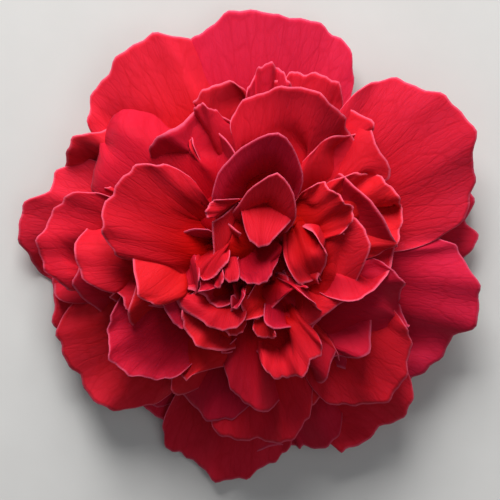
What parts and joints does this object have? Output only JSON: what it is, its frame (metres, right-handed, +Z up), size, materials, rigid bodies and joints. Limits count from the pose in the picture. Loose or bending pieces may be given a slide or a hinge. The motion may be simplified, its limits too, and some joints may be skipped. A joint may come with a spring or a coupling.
{
  "type": "camellia flower",
  "caption": "Double camellia bloom, picked and lying face up: broad wavy guard petals round a full centre of upright, folded petaloids, on a small scaly green calyx.",
  "frame": {"origin": "bottom centre of the bloom's box, on the surface that the bloom lies on", "axes": "+Z up out of the open face of the flower along its axis; +Y towards the broad upright guard petal's side, +X to the right seen from above"},
  "size_m": [0.1014, 0.1066, 0.0361],
  "materials": {
    "petal": "satin",
    "sepal": "matte"
  },
  "bodies": {
    "root": {"petals": "petal", "calyx": "sepal"}
  },
  "joints": []
}
